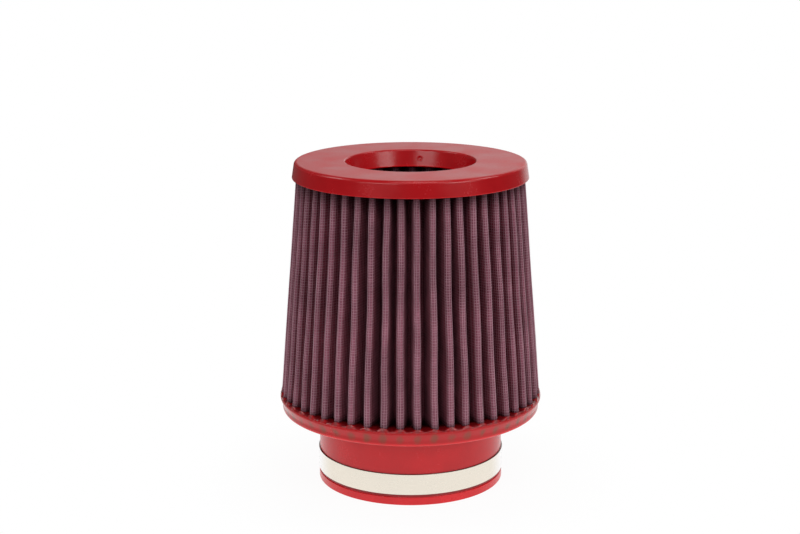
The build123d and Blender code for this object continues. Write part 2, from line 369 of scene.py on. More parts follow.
def red_moulding():
    """Red polyurethane of the top ring and the inner disc: satin on the flat top, smoother elsewhere."""
    material, tree, shader = new_material("red_moulding")
    skin = use_group(tree, moulded_skin, Base_Roughness=0.0)
    # The tone includes the painted light along the skirt's lower edge
    tone = calc(tree, "MULTIPLY", skin.outputs["Tint"], skirt_tone(tree, own_place(tree)))
    tree.links.new(tinted(tree, moulding_red, tone), shader.inputs["Base Color"])
    finish = remap(tree, facing_up(tree), 0.8, 0.98, 0.24, 0.4, smooth=True)
    tree.links.new(calc(tree, "ADD", finish, skin.outputs["Roughness"]), shader.inputs["Roughness"])
    shader.inputs["IOR"].default_value = moulding_ior
    set_bump(tree, shader, skin.outputs["Height"], moulding_relief, 0.04 * MM)
    return material


def fold_end_spots(tree, place):
    """Share of brown on the flange: one soft spot under each pleat tip, where a fold's end shows through."""
    angle, height = axis_angle(tree, place)
    pleats = calc(tree, "MULTIPLY", calc(tree, "SUBTRACT", angle, outer_phase), outer_count / FULL_TURN)
    offset = calc(tree, "SUBTRACT", calc(tree, "FRACT", calc(tree, "ADD", pleats, 0.5)), 0.5)
    wobble = remap(tree, noise(tree, place, 170.0, 2.0), 0.3, 0.7, -0.3, 0.3)
    spot_half_width = 2.8 * MM
    spot_half_height = 3.4 * MM
    spot_z = 46.3 * MM
    across = calc(tree, "MULTIPLY", offset, FULL_TURN * flange_r / outer_count / spot_half_width)
    up = calc(tree, "MULTIPLY", calc(tree, "SUBTRACT", height, spot_z), 1 / spot_half_height)
    squares = calc(tree, "ADD", calc(tree, "MULTIPLY", across, across), calc(tree, "MULTIPLY", up, up))
    reach = calc(tree, "ADD", calc(tree, "SQRT", squares), wobble)
    spot = remap(tree, reach, 0.15, 1.15, 1.0, 0.0, smooth=True)
    strength = remap(tree, noise(tree, place, 60.0, 1.0), 0.3, 0.65, 0.5, 0.85)
    return calc(tree, "MULTIPLY", spot, strength)


def neck_painted_shade_and_light(tree, place):
    """Tone of the neck: painted shade along the clamp strip's two edges, and painted light on the lip and
    under the flange.
    """
    height = split_place(tree, place)["Z"]
    # Painted shade just above the strip's top edge
    above = remap(tree, height, strip_top_z, strip_top_z + 0.5 * MM, 0.2, 1.0, smooth=True)
    # Painted light on the lip, and painted shade in the groove under the strip
    below = remap(tree, height, neck_lip_shoulder_z, neck_lip_top_z + 0.3 * MM, 1.18, 0.5, smooth=True)
    # Painted light on the neck just under the flange
    painted_light_under_flange = remap(tree, height, neck_length - 4.0 * MM, neck_length - 1.0 * MM, 1.0, 1.2, smooth=True)
    flange = remap(tree, height, neck_length, neck_length + 0.4 * MM, painted_light_under_flange, 1.0)
    return calc(tree, "MULTIPLY", calc(tree, "MAXIMUM", above, below), flange)


def flange_painted_shade_and_light(tree, place):
    """Tone of the flange: painted shade on the seat between the pleats, clear on the rim, and painted light
    on its lower edge.
    """
    radius, height = axis_distance(tree, place)
    # Painted shade on the seat's top between the pleats
    rim = remap(tree, radius, outer_tip_r_base - 3.0 * MM, outer_tip_r_base + 0.1 * MM, 0.2, 1.0, smooth=True)
    under = remap(tree, height, seat_z - 0.4 * MM, seat_z - 0.1 * MM, 1.0, 0.0)
    above_neck = calc(tree, "SUBTRACT", height, neck_length)
    # Painted highlight along the flange's lower edge
    painted_lower_edge_light = remap(tree, above_neck, 1.1 * MM, 2.2 * MM, 1.25, 0.9, smooth=True)
    outside = remap(tree, radius, flange_r - 2.0 * MM, flange_r - 1.4 * MM, 0.0, 1.0)
    edge_tone = remap(tree, outside, 0.0, 1.0, 1.0, painted_lower_edge_light)
    return calc(tree, "MULTIPLY", calc(tree, "MAXIMUM", rim, under), edge_tone)


def spotted_moulding():
    """The same moulding on the neck and flange, where brown fold ends show through."""
    material, tree, shader = new_material("red_moulding_base")
    skin = use_group(tree, moulded_skin, Base_Roughness=0.24)
    place = own_place(tree)
    # Painted shade and light on the neck and on the flange
    tone = calc(tree, "MULTIPLY", skin.outputs["Tint"], neck_painted_shade_and_light(tree, place))
    tone = calc(tree, "MULTIPLY", tone, flange_painted_shade_and_light(tree, place))
    red = tinted(tree, moulding_red, tone)
    colour = blend_colours(tree, fold_end_spots(tree, place), red, fold_end_brown)
    tree.links.new(colour, shader.inputs["Base Color"])
    tree.links.new(skin.outputs["Roughness"], shader.inputs["Roughness"])
    shader.inputs["IOR"].default_value = moulding_ior
    set_bump(tree, shader, skin.outputs["Height"], moulding_relief, 0.04 * MM)
    return material


def wet_fillet():
    """Moulding that climbs the pleats' feet: painted shade in the pleats, red outside, and pale where it is
    thin on the tips, partly the thin film and partly a painted highlight.
    """
    material, tree, shader = new_material("red_moulding_fillet")
    level = add_node(tree, "ShaderNodeAttribute", attribute_name="shade_and_thinness").outputs["Fac"]
    mottle = noise(tree, own_place(tree), 900.0, 2.0)
    level = calc(tree, "ADD", level, remap(tree, mottle, 0.3, 0.7, -0.12, 0.12))
    # Painted shade: dark red deep between the pleats
    red = blend_colours(tree, remap(tree, level, 0.05, 0.6, 0.0, 1.0), srgb(96, 5, 9), srgb(172, 12, 20))
    # Pale where thin on the tips: the thin film, with a painted highlight
    colour = blend_colours(tree, remap(tree, level, 0.55, 0.85, 0.0, 1.0), red, srgb(138, 54, 56))
    tree.links.new(colour, shader.inputs["Base Color"])
    shader.inputs["Roughness"].default_value = 0.22
    shader.inputs["IOR"].default_value = moulding_ior
    return material


def oiled_gauze(name, fold, clear, deep):
    """Oiled cotton gauze of a pleat pack, with its colour on the seen folds, and a darker colour as painted
    shade deep in the pleats and at their ends.
    """
    material, tree, shader = new_material(name)
    weave = use_group(tree, gauze_weave)
    shade = use_group(tree, fold_depth, **fold)
    tone = calc(tree, "MULTIPLY", weave.outputs["Tone"], shade.outputs["Painted End Shade"])
    # Painted shade: the darker colour deep in the pleats
    colour = blend_colours(tree, shade.outputs["Depth"], clear, deep)
    tree.links.new(tinted(tree, colour, tone), shader.inputs["Base Color"])
    shader.inputs["Roughness"].default_value = 0.8
    shader.inputs["Specular IOR Level"].default_value = 0.25
    set_bump(tree, shader, weave.outputs["Height"], 0.5, 0.1 * MM)
    return material


def screen_wire(name, fold, clear, deep):
    """Coated wire of a screen with the gauze's oil on it, and the same painted shade deep in the pleats and
    at their ends.
    """
    material, tree, shader = new_material(name)
    oil = noise(tree, own_place(tree), 60.0, 3.0)
    shade = use_group(tree, fold_depth, **fold)
    tone = calc(tree, "MULTIPLY", remap(tree, oil, 0.35, 0.65, 0.85, 1.2), shade.outputs["Painted End Shade"])
    # Painted shade: the darker colour deep in the pleats
    colour = blend_colours(tree, shade.outputs["Depth"], clear, deep)
    tree.links.new(tinted(tree, colour, tone), shader.inputs["Base Color"])
    shader.inputs["Roughness"].default_value = 0.5
    shader.inputs["Specular IOR Level"].default_value = 0.35
    return material


def metal(name, colour, roughness, lines, edge_tone):
    """Bare rolled or plated metal, with a painted pale reflection at a slant, and toned on the cut faces that
    point up or down.
    """
    material, tree, shader = new_material(name)
    finish = use_group(tree, rolled_metal, Lines=lines, Base_Roughness=roughness)
    level_face = calc(tree, "ABSOLUTE", facing_up(tree))
    cut = remap(tree, level_face, 0.5, 0.9, 1.0, edge_tone, smooth=True)
    tone = calc(tree, "MULTIPLY", finish.outputs["Tone"], cut)
    # Painted reflection: paler towards white at a slant
    slant = add_node(tree, "ShaderNodeLayerWeight").outputs["Facing"]
    pale = blend_colours(tree, remap(tree, slant, 0.5, 0.9, 0.0, 1.0, smooth=True), colour, (1, 1, 1, 1))
    tree.links.new(tinted(tree, pale, tone), shader.inputs["Base Color"])
    tree.links.new(finish.outputs["Roughness"], shader.inputs["Roughness"])
    shader.inputs["Metallic"].default_value = 1.0
    set_bump(tree, shader, finish.outputs["Height"], 0.08, 0.02 * MM)
    return material


top_red = red_moulding()
base_red = spotted_moulding()
# Where the painted shade of each pleat pack lies: its fold radius, taper and two ends
outer_folds = {
    "Fold_Radius": outer_tip_r_base - outer_taper * seat_z,
    "Taper": outer_taper,
    "Side": 1.0,
    "Foot": seat_z,
    "Head": skirt_bottom_z,
}
inner_folds = {
    "Fold_Radius": inner_fold_r_base - inner_taper * inner_base_z,
    "Taper": inner_taper,
    "Side": -1.0,
    "Foot": inner_base_z,
    "Head": cap_top_z,
}
# Second colours are painted shade deep in the pleats; the inner pack's colours are the same gauze and wire
# painted darker, as painted shade inside the inlet
outer_gauze = oiled_gauze("pleated_gauze", outer_folds, srgb(149, 92, 108), srgb(119, 53, 66))
inner_gauze = oiled_gauze("pleated_gauze_inner_shaded", inner_folds, srgb(58, 20, 31), srgb(40, 8, 14))
outer_wire = screen_wire("screen_wire", outer_folds, srgb(190, 146, 158), srgb(128, 74, 86))
inner_wire = screen_wire("screen_wire_inner_shaded", inner_folds, srgb(92, 60, 68), srgb(46, 14, 21))
fillet = wet_fillet()
stainless = metal("stainless", srgb(240, 232, 218), 0.3, 6000.0, 0.25)
plated = metal("plated_screw", srgb(206, 202, 192), 0.26, 2500.0, 1.0)


# Mesh helpers

sharp_turn = math.radians(40)
longest_side = 4 * MM


def add_piece(name, mesh, material, body):
    """Smooth piece from a mesh in the frame of the solids, riding on a body."""
    mesh.shade_smooth()
    mesh.materials.append(material)
    piece = bpy.data.objects.new(name, mesh)
    bpy.context.scene.collection.objects.link(piece)
    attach(piece, body)
    return piece


def new_piece(name, points, faces, material, body="filter"):
    """Smooth piece from points and faces."""
    mesh = bpy.data.meshes.new(name)
    mesh.from_pydata(np.asarray(points).tolist(), [], [tuple(face) for face in faces])
    return add_piece(name, mesh, material, body)


def grid_faces(rows, columns, first=0, flip=False):
    """Quads of a grid of points that closes round its columns."""
    row, column = np.meshgrid(np.arange(rows - 1), np.arange(columns), indexing="ij")
    after = (column + 1) % columns
    start = row * columns
    end = start + columns
    corners = [start + column, start + after, end + after, end + column]
    quads = np.stack([corner.ravel() for corner in corners], axis=1) + first
    return quads[:, ::-1] if flip else quads


def rounded_profile(corners, steps=6):
    """Closed outline of radius and height through corners given as radius, height and rounding."""
    points = []
    count = len(corners)
    for index, (radius, height, rounding) in enumerate(corners):
        here = np.array((radius, height))
        back = np.array(corners[index - 1][:2]) - here
        on = np.array(corners[(index + 1) % count][:2]) - here
        back /= np.linalg.norm(back)
        on /= np.linalg.norm(on)
        if rounding == 0:
            points.append(here)
            continue
        half_angle = math.acos(np.clip(back @ on, -1, 1)) / 2
        middle = (back + on) / np.linalg.norm(back + on)
        centre = here + middle * rounding / math.sin(half_angle)
        start = here + back * rounding / math.tan(half_angle) - centre
        end = here + on * rounding / math.tan(half_angle) - centre
        turn = math.atan2(start[0] * end[1] - start[1] * end[0], start @ end)
        for step in range(steps + 1):
            angle = turn * step / steps
            across = np.array((-start[1], start[0]))
            points.append(centre + math.cos(angle) * start + math.sin(angle) * across)
    return np.array(points)


def fine_profile(profile, longest, closed):
    """The same outline with its long sides cut, also close to both ends so that flat faces stay flat.

    The closing side of an open outline isn't cut.
    """
    end_length = 0.12 * MM
    shortest_to_cut = 8 * end_length
    points = []
    for number, (start, end) in enumerate(zip(profile, np.roll(profile, -1, axis=0))):
        length = np.linalg.norm(end - start)
        marks = [0.0]
        if length > shortest_to_cut and (closed or number < len(profile) - 1):
            pieces = math.ceil(length / longest)
            cuts = [length * step / pieces for step in range(1, pieces)]
            marks += [end_length, *cuts, length - end_length]
        points += [start + (end - start) * mark / length for mark in marks]
    return np.array(points)


def turned(name, corners, segments, material, closed=True):
    """Ring turned about the axis from a closed outline, or a disc from one with both ends near the axis."""
    profile = fine_profile(rounded_profile(corners), longest_side, closed)
    angle = FULL_TURN * np.arange(segments) / segments
    x = profile[:, :1] * np.cos(angle)
    y = profile[:, :1] * np.sin(angle)
    z = np.repeat(profile[:, 1:], segments, axis=1)
    points = np.stack([x, y, z], axis=2).reshape(-1, 3)
    rows = len(profile)
    if closed:
        faces = (grid_faces(rows + 1, segments) % len(points)).tolist()
    else:
        faces = grid_faces(rows, segments).tolist()
        low_end = np.arange(segments)
        faces.append(low_end[::-1].tolist())
        faces.append((low_end + (rows - 1) * segments).tolist())
    piece = new_piece(name, points, faces, material)
    piece.data.set_sharp_from_angle(angle=sharp_turn)
    return piece


# Folded sheets

tip_lean_spread = 0.32 * MM
tip_lean_wave = 0.25 * MM
tip_push_wave = 0.08 * MM
tip_inset = 0.12 * MM


def fold_line(tip_centre_r, valley_centre_r, tip_bend, valley_bend, count, steps):
    """One pleat from valley to valley: angles, radii, and the sheet's outward direction at each point.

    Both bends are arcs, joined by the straight flank that touches them; steps are those of the tip
    arc, the flank and the valley arc, each for half a pleat.
    """
    half_pitch = math.pi / count
    tip_steps, flank_steps, valley_steps = steps
    tip_centre = np.array((tip_centre_r, 0.0))
    valley_centre = valley_centre_r * np.array((math.cos(half_pitch), math.sin(half_pitch)))
    gap = valley_centre - tip_centre
    lean = math.atan2(gap[1], gap[0]) + math.asin((tip_bend + valley_bend) / np.linalg.norm(gap))
    facing = lean - math.pi / 2
    tip_turns = facing * np.arange(tip_steps) / tip_steps
    flank_share = np.arange(flank_steps) / flank_steps
    valley_turns = facing + (half_pitch - facing) * np.arange(valley_steps + 1) / valley_steps
    flank_start = tip_centre + tip_bend * np.array((math.cos(facing), math.sin(facing)))
    flank_end = valley_centre - valley_bend * np.array((math.cos(facing), math.sin(facing)))
    tip = tip_centre + tip_bend * np.stack([np.cos(tip_turns), np.sin(tip_turns)], axis=1)
    flank = flank_start + flank_share[:, None] * (flank_end - flank_start)
    valley = valley_centre - valley_bend * np.stack([np.cos(valley_turns), np.sin(valley_turns)], axis=1)
    half = np.concatenate([tip, flank, valley])
    turns = np.concatenate([tip_turns, np.full(flank_steps, facing), valley_turns])
    mirror = half[1:][::-1] * (1, -1)
    points = np.concatenate([mirror, half])[:-1]
    normals = np.concatenate([-turns[1:][::-1], turns])[:-1]
    angles = np.arctan2(points[:, 1], points[:, 0])
    return angles, np.hypot(points[:, 0], points[:, 1]), normals


class PleatPack:
    """A ring of pleats on a cone, with slightly uneven tips, and points on or near its sheet."""

    def __init__(self, count, phase, depth, tip_bend, valley_bend, tip_r_at, low_z, high_z, seed):
        self.count = count
        self.phase = phase
        self.depth = depth
        self.tip_bend = tip_bend
        self.valley_bend = valley_bend
        self.tip_r_at = tip_r_at
        self.low_z = low_z
        self.high_z = high_z
        random = np.random.default_rng(seed)
        self.set_over = random.normal(0, tip_lean_spread, count)
        self.wave_phase = random.uniform(0, FULL_TURN, (2, count))
        self.wave_length = random.uniform(50 * MM, 95 * MM, (2, count))

    def uneven(self, z):
        """How far each tip leans to a side and stands in or out at a height."""
        lean_wave = np.sin(FULL_TURN * z / self.wave_length[0] + self.wave_phase[0])
        push_wave = np.sin(FULL_TURN * z / self.wave_length[1] + self.wave_phase[1])
        return self.set_over + tip_lean_wave * lean_wave, tip_push_wave * (push_wave - 1) - tip_inset

    def row(self, z, lift, steps):
        """Points at a height, lifted off the sheet's outside, with outward directions, pleat after pleat."""
        tip_r = self.tip_r_at(z)
        valley_r = tip_r - self.depth + sheet_thickness
        tip_bend = self.tip_bend * tip_r / self.tip_r_at(self.low_z)
        centres = (tip_r - tip_bend, valley_r + self.valley_bend)
        bends = (tip_bend + lift, self.valley_bend - lift)
        angles, radii, normals = fold_line(*centres, *bends, self.count, steps)
        share = np.clip((radii - valley_r) / (tip_r - valley_r), 0, 1)
        lean, push = self.uneven(z)
        starts = self.phase + FULL_TURN * np.arange(self.count) / self.count
        turn = starts[:, None] + angles + share * lean[:, None] / radii
        radius = radii + share * push[:, None]
        facing = starts[:, None] + normals
        points = np.stack([radius * np.cos(turn), radius * np.sin(turn), np.full_like(turn, z)], axis=2)
        directions = np.stack([np.cos(facing), np.sin(facing), np.zeros_like(facing)], axis=2)
        return points.reshape(-1, 3), directions.reshape(-1, 3)

    def surface(self, heights, lift, steps):
        """Rows of points at several heights."""
        return np.stack([self.row(z, lift, steps)[0] for z in heights])


def add_sheet_map(piece, rows):
    """Map of a folded sheet in metres: across the folds by length, and up by height."""
    mesh = piece.data
    lengths = np.linalg.norm(np.roll(rows[0], -1, axis=0) - rows[0], axis=1)
    starts = np.concatenate([[0], np.cumsum(lengths)[:-1]])
    vertex = np.zeros(len(mesh.loops), np.int64)
    mesh.loops.foreach_get("vertex_index", vertex)
    column = vertex.reshape(-1, 4) % rows.shape[1]
    first = column.min(axis=1, keepdims=True)
    closing = (column.max(axis=1, keepdims=True) - first) > 1
    u = np.where(closing & (column == first), starts[-1] + lengths[-1], starts[column])
    places = np.zeros(len(mesh.vertices) * 3, np.float32)
    mesh.vertices.foreach_get("co", places)
    v = places.reshape(-1, 3)[vertex, 2].reshape(-1, 4)
    layer = mesh.uv_layers.new(name="Sheet")
    layer.data.foreach_set("uv", np.stack([u, v], axis=2).astype(np.float32).ravel())


def folded_sheet(name, pack, row_count, steps, material, node):
    """Closed pleated sheet with its outside, its inside and the two cut ends."""
    outside = pack.surface(np.linspace(pack.low_z, pack.high_z, row_count), -gauze_inset, steps)
    inside = pack.surface(np.linspace(pack.low_z, pack.high_z, row_count), -sheet_thickness, steps)
    columns = outside.shape[1]
    total = row_count * columns
    column = np.arange(columns)
    after = (column + 1) % columns
    last = total - columns
    bottom = np.stack([column, column + total, after + total, after], axis=1)
    top = np.stack([column + last, after + last, after + last + total, column + last + total], axis=1)
    faces = np.concatenate([
        grid_faces(row_count, columns), grid_faces(row_count, columns, total, flip=True), bottom, top,
    ])
    points = np.concatenate([outside.reshape(-1, 3), inside.reshape(-1, 3)])
    piece = new_piece(name, points, faces, material)
    add_sheet_map(piece, outside)
    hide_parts(node)


def tube_faces(path_count, point_count, closed):
    """Faces of three-sided wires, along each path and round each wire."""
    lengths = point_count if closed else point_count - 1
    path, point, side = np.meshgrid(
        np.arange(path_count), np.arange(lengths), np.arange(wire_sides), indexing="ij"
    )
    following = (point + 1) % point_count
    beside = (side + 1) % wire_sides

    def index(at_point, at_side):
        return (path * point_count + at_point) * wire_sides + at_side

    corners = [index(point, side), index(following, side), index(following, beside), index(point, beside)]
    return np.stack([corner.ravel() for corner in corners], axis=1).tolist()


def wire_ends(path_count, point_count):
    """Faces that close both ends of three-sided wires."""
    first = np.arange(path_count)[:, None] * point_count * wire_sides
    last = first + (point_count - 1) * wire_sides
    ring = np.arange(wire_sides)
    return (first + ring).tolist() + (last + ring[::-1]).tolist()


def wires(name, paths, outward, across, radius, closed, material):
    """Thin wires along paths, each with its outward and across directions."""
    turns = FULL_TURN * np.arange(wire_sides) / wire_sides
    rings = [paths + radius * (math.cos(turn) * outward + math.sin(turn) * across) for turn in turns]
    points = np.stack(rings, axis=2)
    faces = tube_faces(paths.shape[0], paths.shape[1], closed)
    if not closed:
        faces += wire_ends(paths.shape[0], paths.shape[1])
    new_piece(name, points.reshape(-1, 3), faces, material)


def even_columns(row, spacing):
    """Numbers of the points of a row that lie about evenly along it."""
    lengths = np.linalg.norm(np.roll(row, -1, axis=0) - row, axis=1)
    along = np.concatenate([[0], np.cumsum(lengths)[:-1]])
    marks = np.arange(0, along[-1], spacing)
    furthest = 0.3 * spacing
    shifts = np.random.default_rng(9).normal(0, 0.1 * spacing, len(marks)).clip(-furthest, furthest)
    return np.unique(np.searchsorted(along, marks + shifts).clip(0, len(along) - 1))


def upright_wires(name, pack, lift, steps, bend_count, material):
    """Wires of a screen that run up the sheet from end to end."""
    heights = np.linspace(pack.low_z, pack.high_z, bend_count)
    rows = [pack.row(z, lift, steps) for z in heights]
    chosen = even_columns(rows[0][0], wire_pitch)
    paths = np.stack([row[0][chosen] for row in rows], axis=1)
    outward = np.stack([row[1][chosen] for row in rows], axis=1)
    across = np.stack([outward[..., 1], -outward[..., 0], outward[..., 2]], axis=2)
    wires(name, paths, outward, across, upright_r, False, material)


def hoop_wires(name, pack, lift, steps, heights, material):
    """Wires of a screen that run round the sheet in and out of every fold."""
    rows = [pack.row(z, lift, steps) for z in heights]
    paths = np.stack([row[0] for row in rows])
    outward = np.stack([row[1] for row in rows])
    upward = np.zeros_like(outward)
    upward[..., 2] = 1.0
    wires(name, paths, outward, upward, hoop_r, True, material)


# Pieces


def base_moulding():
    """Neck and flange in one moulding."""
    corners = [
        (neck_bore_r, 0, 0.5 * MM),
        (neck_lip_r, 0, 0.4 * MM),
        (neck_lip_r, neck_lip_shoulder_z, 0.4 * MM),
        (neck_r, neck_lip_top_z, 0.3 * MM),
        (neck_r, neck_length, 2.2 * MM),
        (flange_r, neck_length, 1.5 * MM),
        (flange_r, rim_flare_z, 4.0 * MM),
        (rim_r, rim_edge_z, 0.6 * MM),
        (rim_r, seat_z, 0.5 * MM),
        (neck_bore_r, seat_z, 0.4 * MM),
    ]
    piece = turned("base_moulding", corners, 360, base_red)
    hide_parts("base_flange")


def top_ring():
    """Top ring with its skirt and the collar round the inlet."""
    inner_top_r = inner_fold_r_base + inner_taper * (ceiling_z - inner_base_z) - pleat_clearance
    corners = [
        (skirt_inner_r, skirt_bottom_z, 0.3 * MM),
        (skirt_r, skirt_bottom_z, 0.4 * MM),
        (cap_r, cap_top_z, 2.0 * MM),
        (hole_r, cap_top_z, 1.1 * MM),
        (collar_lip_r, collar_bottom_z, 0.5 * MM),
        (collar_lip_r + collar_lip_wall, collar_bottom_z, 0.5 * MM),
        (inner_top_r, ceiling_z, 0.3 * MM),
        (skirt_inner_r, ceiling_z, 0.3 * MM),
    ]
    piece = turned("top_ring", corners, 360, top_red)
    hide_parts("top_cap")


def end_disc():
    """Disc that closes the inner cone, with a rim round the ends of its pleats."""
    hub_r = 0.5 * MM
    rim_inner_r = disc_r - 1.8 * MM
    corners = [
        (hub_r, disc_bottom_z, 0),
        (disc_r, disc_bottom_z, 1.2 * MM),
        (disc_r, disc_top_z, 0.7 * MM),
        (rim_inner_r, disc_top_z, 0.7 * MM),
        (rim_inner_r, inner_base_z, 0.4 * MM),
        (hub_r, inner_base_z, 0),
    ]
    piece = turned("end_disc", corners, 240, top_red, closed=False)
    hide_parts("inner_end_cap")


def outer_tip_r(z):
    """Radius of the outer pleats' tips at a height."""
    return outer_tip_r_base + outer_taper * (z - seat_z)


def inner_tip_r(z):
    """Radius of the inner pleats' outer tips at a height."""
    return inner_fold_r_base + inner_taper * (z - inner_base_z) + inner_depth


outer_pack = PleatPack(
    outer_count,
    outer_phase,
    outer_depth,
    outer_tip_bend,
    outer_valley_bend,
    outer_tip_r,
    low_z=seat_z,
    high_z=ceiling_z,
    seed=11,
)
inner_pack = PleatPack(
    inner_count,
    inner_phase,
    inner_depth,
    inner_tip_bend,
    inner_valley_bend,
    inner_tip_r,
    low_z=inner_base_z,
    high_z=ceiling_z,
    seed=5,
)


def outer_screen():
    """Wire screen over the outside of the outer pleats."""
    upright_wires("outer_uprights", outer_pack, upright_lift, (16, 16, 6), 9, outer_wire)
    lowest = seat_z + 1.6 * MM
    highest = skirt_bottom_z + 3 * MM
    uneven = 0.08 * MM
    heights = np.arange(lowest, highest, wire_pitch)
    heights = heights + np.random.default_rng(8).normal(0, uneven, len(heights))
    half = len(heights) // 2
    hoop_wires("outer_hoops_low", outer_pack, hoop_lift, (3, 1, 2), heights[:half], outer_wire)
    hoop_wires("outer_hoops_high", outer_pack, hoop_lift, (3, 1, 2), heights[half:], outer_wire)


def inner_screen():
    """Wire screen on the inlet side of the inner pleats."""
    upright_wires("inner_uprights", inner_pack, -sheet_thickness - upright_lift, (6, 12, 12), 5, inner_wire)
    end_gap = 2 * MM
    heights = np.arange(inner_base_z + end_gap, ceiling_z - end_gap, wire_pitch)
    hoop_wires("inner_hoops", inner_pack, -sheet_thickness - hoop_lift, (2, 1, 3), heights, inner_wire)


def foot_fillet():
    """Low uneven ring of moulding round the feet of the pleats, highest where it climbs their tips."""
    columns_per_pleat = 24
    climb_half_width = 0.34
    ripples = (31, 53, 90, 140)
    columns = outer_count * columns_per_pleat
    angle = FULL_TURN * np.arange(columns) / columns
    pleats = (angle - outer_phase) * outer_count / FULL_TURN
    pleat = np.round(pleats).astype(int)
    tipward = np.clip(1 - np.abs(pleats - pleat) / climb_half_width, 0, 1)
    random = np.random.default_rng(3)
    reach = random.uniform(0.6, 1.3, outer_count)[pleat % outer_count]
    waves = sum(np.sin(turns * angle + random.uniform(0, FULL_TURN)) for turns in ripples) / len(ripples)
    # Out from the tips and up from the seat in millimetres, and shade_and_thinness, low for painted shade
    # deep between the pleats and high where thin on a tip: between the pleats, then on a tip
    outline = [
        ((0.3, -0.4, 0.6), (0.3, -0.4, 0.6)),
        ((0.3, 0.15, 0.5), (0.3, 0.2, 0.75)),
        ((0.0, 0.5, 0.3), (0.12, 1.0, 1.0)),
        ((-0.4, 0.8, 0.16), (-0.1, 2.2, 1.1)),
        ((-1.3, 1.2, 0.08), (-0.7, 2.2, 0.6)),
        ((-3.2, 1.8, 0.0), (-3.2, 1.8, 0.0)),
        ((-6.0, 2.0, 0.0), (-6.0, 2.0, 0.0)),
        ((-6.0, -0.4, 0.0), (-6.0, -0.4, 0.0)),
    ]
    points = []
    shade_and_thinness = []
    for between, at_tip in outline:
        out = between[0] + (at_tip[0] - between[0]) * tipward
        rise = between[1] + (at_tip[1] - between[1]) * tipward * reach
        if rise.min() > 0.3:
            rise = rise + 0.15 * waves
        radius = outer_tip_r_base + out * MM
        points.append(np.stack([radius * np.cos(angle), radius * np.sin(angle), seat_z + rise * MM], axis=1))
        shade_and_thinness.append(between[2] + (at_tip[2] - between[2]) * tipward)
    rows = len(points)
    faces = grid_faces(rows + 1, columns) % (rows * columns)
    piece = new_piece("foot_fillet", np.concatenate(points), faces, fillet)
    layer = piece.data.attributes.new("shade_and_thinness", "FLOAT", "POINT")
    layer.data.foreach_set("value", np.concatenate(shade_and_thinness).astype(np.float32))


def gate_mark():
    """Round mark with a pit, left by the mould's gate on the far side of the hole's wall."""
    aside = math.radians(8.85)
    mark_z = 181.3 * MM
    back_depth = 0.3 * MM
    lean = math.atan2(hole_r - collar_lip_r, cap_top_z - collar_bottom_z)
    wall_r = collar_lip_r + (mark_z - collar_bottom_z) * math.tan(lean)
    side = np.array((math.cos(aside), -math.sin(aside), 0))
    outward = np.array((math.sin(aside), math.cos(aside), 0))
    normal = -outward * math.cos(lean) + np.array((0, 0, math.sin(lean)))
    up = np.cross(side, normal)
    up *= math.copysign(1, up[2])
    centre = outward * wall_r + np.array((0, 0, mark_z))
    # Radius and height in millimetres, from the pit's middle to the outer edge
    profile = [(0.0, -0.2), (0.3, -0.18), (0.55, 0.1), (1.3, 0.1), (1.6, 0.22), (1.8, 0.18), (1.9, -0.25)]
    segments = 40
    turn = FULL_TURN * np.arange(segments) / segments
    points = [centre + normal * profile[0][1] * MM]
    for radius, height in profile[1:]:
        ring = np.cos(turn)[:, None] * side + np.sin(turn)[:, None] * up
        points.extend(centre + normal * height * MM + ring * radius * MM)
    points.append(centre - normal * back_depth)
    faces = [(0, 1 + index, 1 + (index + 1) % segments) for index in range(segments)]
    faces += (grid_faces(len(profile) - 1, segments, flip=True) + 1).tolist()
    last = len(points) - 1
    outer = last - segments
    faces += [(last, outer + (index + 1) % segments, outer + index) for index in range(segments)]
    new_piece("gate_mark", points, faces, top_red)


def soft_copy(node, name, width, material, body):
    """Copy of a solid's mesh with its sharp edges eased."""
    weld = 0.002 * MM
    nearly_flat = math.radians(1.0)
    crease = math.radians(25)
    corner = math.radians(35)
    work = bmesh.new()
    work.from_mesh(frame["nodes"][node].data)
    bmesh.ops.remove_doubles(work, verts=work.verts, dist=weld)
    bmesh.ops.dissolve_limit(work, angle_limit=nearly_flat, verts=work.verts, edges=work.edges)
    sharp = [edge for edge in work.edges if edge.is_manifold and edge.calc_face_angle(0) > corner]
    easing = {"offset": width, "segments": 2, "profile": 0.5, "clamp_overlap": True}
    bmesh.ops.bevel(work, geom=sharp, affect="EDGES", **easing)
    mesh = bpy.data.meshes.new(name)
    work.to_mesh(mesh)
    work.free()
    piece = add_piece(name, mesh, material, body)
    mesh.set_sharp_from_angle(angle=crease)
    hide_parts(node)


def worm_thread():
    """Low thread round the screw's core, inside the housing and clear of the strip."""
    core_r = 3.6 * MM
    crest_r = core_r + 0.28 * MM
    root_r = core_r - 0.2 * MM
    pitch = 3.3 * MM
    half_length = 4.7 * MM
    count = 96
    along = np.linspace(-half_length, half_length, count)
    turn = FULL_TURN * along / pitch
    section = [(root_r, -0.7 * MM), (root_r, 0.7 * MM), (crest_r, 0.3 * MM), (crest_r, -0.3 * MM)]
    sides = len(section)
    corners = []
    for radius, offset in section:
        corner = np.stack([along + offset, radius * np.cos(turn), radius * np.sin(turn)], axis=1)
        corners.append(corner + worm_axis)
    points = np.stack(corners, axis=1).reshape(-1, 3)
    faces = grid_faces(count, sides).tolist()
    faces.append(list(range(sides))[::-1])
    faces.append(list(range(len(points) - sides, len(points))))
    piece = new_piece("worm_thread", points, faces, plated, "worm_screw")
    piece.data.set_sharp_from_angle(angle=sharp_turn)


